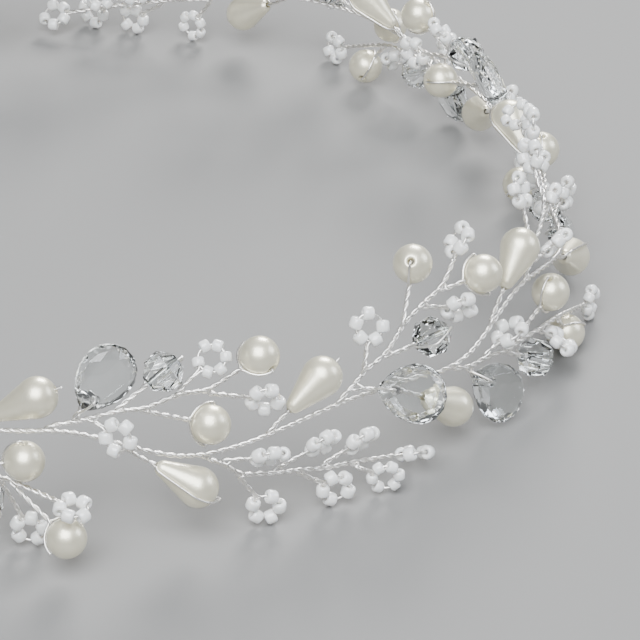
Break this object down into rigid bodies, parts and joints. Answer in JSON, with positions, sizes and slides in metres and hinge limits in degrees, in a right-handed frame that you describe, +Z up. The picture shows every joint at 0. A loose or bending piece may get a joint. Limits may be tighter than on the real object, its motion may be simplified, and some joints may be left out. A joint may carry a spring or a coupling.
{
  "type": "bridal hair vine",
  "caption": "Hair vine headband of twisted silver wire with sprigs of drop and round pearls, faceted clear crystals and flowers of white seed beads, bent to a wide open arc.",
  "frame": {"origin": "centre of the part's outline in plan, at the height of its lowest beads", "axes": "+Z up, +X from the arc's open side towards the middle of the band, +Y across the head towards the end that lies farther from the viewer"},
  "size_m": [0.1278, 0.1733, 0.0347],
  "materials": {
    "silver_wire": "polished silver plate, two strands twisted together",
    "pearl": "ivory imitation pearl with a glossy nacre coat",
    "crystal": "clear cut glass with polished facets",
    "seed_bead": "opaque white glass with a pearly lustre"
  },
  "bodies": {
    "root": {"twisted_wire": "silver_wire", "drop_pearl_1": "pearl", "drop_pearl_2": "pearl", "drop_pearl_3": "pearl", "drop_pearl_4": "pearl", "drop_pearl_5": "pearl", "drop_pearl_6": "pearl", "drop_pearl_7": "pearl", "drop_pearl_8": "pearl", "drop_pearl_9": "pearl", "drop_pearl_10": "pearl", "drop_pearl_11": "pearl", "drop_pearl_12": "pearl", "pear_crystal_1": "crystal", "pear_crystal_2": "crystal", "pear_crystal_3": "crystal", "pear_crystal_4": "crystal", "pear_crystal_5": "crystal", "pear_crystal_6": "crystal", "pear_crystal_7": "crystal", "pear_crystal_8": "crystal", "pear_crystal_9": "crystal", "round_crystal_1": "crystal", "round_crystal_2": "crystal", "round_crystal_3": "crystal", "round_crystal_4": "crystal", "round_crystal_5": "crystal", "round_crystal_6": "crystal", "round_crystal_7": "crystal", "round_crystal_8": "crystal", "round_crystal_9": "crystal", "pearl_pair_1": "pearl", "pearl_pair_2": "pearl", "pearl_pair_3": "pearl", "pearl_pair_4": "pearl", "pearl_pair_5": "pearl", "pearl_pair_6": "pearl", "pearl_pair_7": "pearl", "pearl_pair_8": "pearl", "pearl_pair_9": "pearl", "seed_flowers_1": "seed_bead", "seed_flowers_2": "seed_bead", "seed_flowers_3": "seed_bead", "seed_flowers_4": "seed_bead", "seed_flowers_5": "seed_bead", "seed_flowers_6": "seed_bead", "seed_flowers_7": "seed_bead", "seed_flowers_8": "seed_bead", "seed_flowers_9": "seed_bead", "seed_flowers_10": "seed_bead", "seed_flowers_11": "seed_bead", "seed_flowers_12": "seed_bead"}
  },
  "joints": []
}
